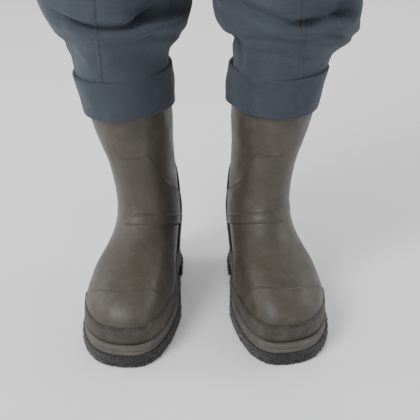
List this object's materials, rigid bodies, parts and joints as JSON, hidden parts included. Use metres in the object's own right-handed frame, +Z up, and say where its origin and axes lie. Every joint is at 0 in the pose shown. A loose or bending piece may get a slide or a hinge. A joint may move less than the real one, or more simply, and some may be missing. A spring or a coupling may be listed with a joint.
{
  "type": "chest waders",
  "caption": "Bootfoot chest waders: moulded rubber boots with felt soles, knit-faced foam legs and bib, over-shoulder braces, wading belt and zipped pouch.",
  "frame": {"origin": "on the floor under the middle of the object's box, midway between the boots", "axes": "+Z up, the wearer faces -Y, +X to the wearer's left"},
  "size_m": [0.4064, 0.3332, 1.4952],
  "materials": {
    "boot_rubber": "satin",
    "bumper_rubber": "matte, knurled",
    "dark_rubber": "matte",
    "midsole_rubber": "matte",
    "felt": "pressed fibre felt",
    "neoprene": "knit-faced foam",
    "cuff_neoprene": "knit-faced foam",
    "patch_fabric": "heavy weave",
    "binding": "ribbed tape",
    "webbing": "woven webbing",
    "buckle_plastic": "fine moulded grain",
    "zip_plastic": "moulded coil",
    "zip_metal": "dull plated",
    "ring_metal": "plated wire",
    "steel": "rolled",
    "insole_foam": "foam with knit top"
  },
  "bodies": {
    "waders": {"left_boot_upper": "boot_rubber", "left_rand": "bumper_rubber", "left_heel_guard": "dark_rubber", "left_ankle_shield": "boot_rubber", "left_ankle_band": "boot_rubber", "left_midsole": "midsole_rubber", "left_felt_sole": "felt", "left_leg": "neoprene", "left_cuff": "cuff_neoprene", "left_buckle_socket": "buckle_plastic", "left_brace_stretch": "webbing", "left_brace": "webbing", "right_boot_upper": "boot_rubber", "right_rand": "bumper_rubber", "right_heel_guard": "dark_rubber", "right_ankle_shield": "boot_rubber", "right_ankle_band": "boot_rubber", "right_midsole": "midsole_rubber", "right_felt_sole": "felt", "right_leg": "neoprene", "right_cuff": "cuff_neoprene", "right_buckle_socket": "buckle_plastic", "right_brace_stretch": "webbing", "right_brace": "webbing", "toe_caps": "boot_rubber", "steel_shanks": "steel", "insoles": "insole_foam", "knee_patches": "patch_fabric", "brace_tabs": "webbing", "bib_front": "neoprene", "bib_back": "neoprene", "top_hem": "binding", "crotch_gusset": "neoprene", "chest_pouch": "patch_fabric", "zip": "zip_plastic", "d_ring_tab": "webbing", "brace_yoke": "patch_fabric", "back_brace": "webbing", "belt_socket": "buckle_plastic", "belt_stretch": "webbing", "belt": "webbing", "belt_keepers": "neoprene"},
    "left_plug": {"left_buckle_plug": "buckle_plastic", "left_brace_loop": "webbing"},
    "left_arm_inner": {"left_latch_arm_inner": "buckle_plastic"},
    "left_arm_outer": {"left_latch_arm_outer": "buckle_plastic"},
    "left_slider": {"left_brace_slider": "buckle_plastic"},
    "right_plug": {"right_buckle_plug": "buckle_plastic", "right_brace_loop": "webbing"},
    "right_arm_inner": {"right_latch_arm_inner": "buckle_plastic"},
    "right_arm_outer": {"right_latch_arm_outer": "buckle_plastic"},
    "right_slider": {"right_brace_slider": "buckle_plastic"},
    "belt_plug_end": {"belt_plug": "buckle_plastic", "belt_loop": "webbing"},
    "belt_arm_lower": {"belt_latch_lower": "buckle_plastic"},
    "belt_arm_upper": {"belt_latch_upper": "buckle_plastic"},
    "zip_slider": {"zip_slider": "zip_metal"},
    "zip_pull": {"zip_pull": "zip_metal"},
    "d_ring": {"d_ring": "ring_metal"}
  },
  "joints": [
    {"name": "left_buckle_release", "type": "slide", "parent": "waders", "child": "left_plug", "axis": [0, 0, 1], "range_m": [0, 0.03], "deforming": ["left_brace_stretch", "left_latch_arm_inner", "left_latch_arm_outer"]},
    {"name": "left_latch_inner", "type": "hinge", "parent": "left_plug", "child": "left_arm_inner", "pos_m": [0.08914, -0.11149, 1.3156], "axis": [0.3031, -0.953, 0], "range_deg": [0, 8], "stiffness_Nm_per_rad": 0.02},
    {"name": "left_latch_outer", "type": "hinge", "parent": "left_plug", "child": "left_arm_outer", "pos_m": [0.11486, -0.10331, 1.3156], "axis": [-0.3031, 0.953, 0], "range_deg": [0, 8], "stiffness_Nm_per_rad": 0.02},
    {"name": "left_brace_adjust", "type": "slide", "parent": "waders", "child": "left_slider", "axis": [0, 0, 1], "range_m": [0, 0.016]},
    {"name": "right_buckle_release", "type": "slide", "parent": "waders", "child": "right_plug", "axis": [0, 0, 1], "range_m": [0, 0.03], "deforming": ["right_brace_stretch", "right_latch_arm_inner", "right_latch_arm_outer"]},
    {"name": "right_latch_inner", "type": "hinge", "parent": "right_plug", "child": "right_arm_inner", "pos_m": [-0.08914, -0.11149, 1.3156], "axis": [0.3031, 0.953, 0], "range_deg": [0, 8], "stiffness_Nm_per_rad": 0.02},
    {"name": "right_latch_outer", "type": "hinge", "parent": "right_plug", "child": "right_arm_outer", "pos_m": [-0.11486, -0.10331, 1.3156], "axis": [-0.3031, -0.953, 0], "range_deg": [0, 8], "stiffness_Nm_per_rad": 0.02},
    {"name": "right_brace_adjust", "type": "slide", "parent": "waders", "child": "right_slider", "axis": [0, 0, 1], "range_m": [0, 0.016]},
    {"name": "belt_release", "type": "slide", "parent": "waders", "child": "belt_plug_end", "axis": [-1, 0, 0], "range_m": [0, 0.03], "deforming": ["belt_stretch", "belt_latch_lower", "belt_latch_upper"]},
    {"name": "belt_latch_lower", "type": "hinge", "parent": "belt_plug_end", "child": "belt_arm_lower", "pos_m": [-0.0176, -0.1089, 1.0185], "axis": [0, -1, 0], "range_deg": [0, 8], "stiffness_Nm_per_rad": 0.02},
    {"name": "belt_latch_upper", "type": "hinge", "parent": "belt_plug_end", "child": "belt_arm_upper", "pos_m": [-0.0176, -0.1089, 1.0575], "axis": [0, 1, 0], "range_deg": [0, 8], "stiffness_Nm_per_rad": 0.02},
    {"name": "zip_slide", "type": "slide", "parent": "waders", "child": "zip_slider", "axis": [1, 0, 0], "range_m": [0, 0.132]},
    {"name": "zip_pull_flip", "type": "hinge", "parent": "zip_slider", "child": "zip_pull", "pos_m": [-0.066, -0.1231, 1.182], "axis": [0, 0, 1], "range_deg": [0, 160]},
    {"name": "d_ring_swing", "type": "hinge", "parent": "waders", "child": "d_ring", "pos_m": [0, -0.1074, 1.243], "axis": [-1, 0, 0], "range_deg": [0, 100]}
  ]
}
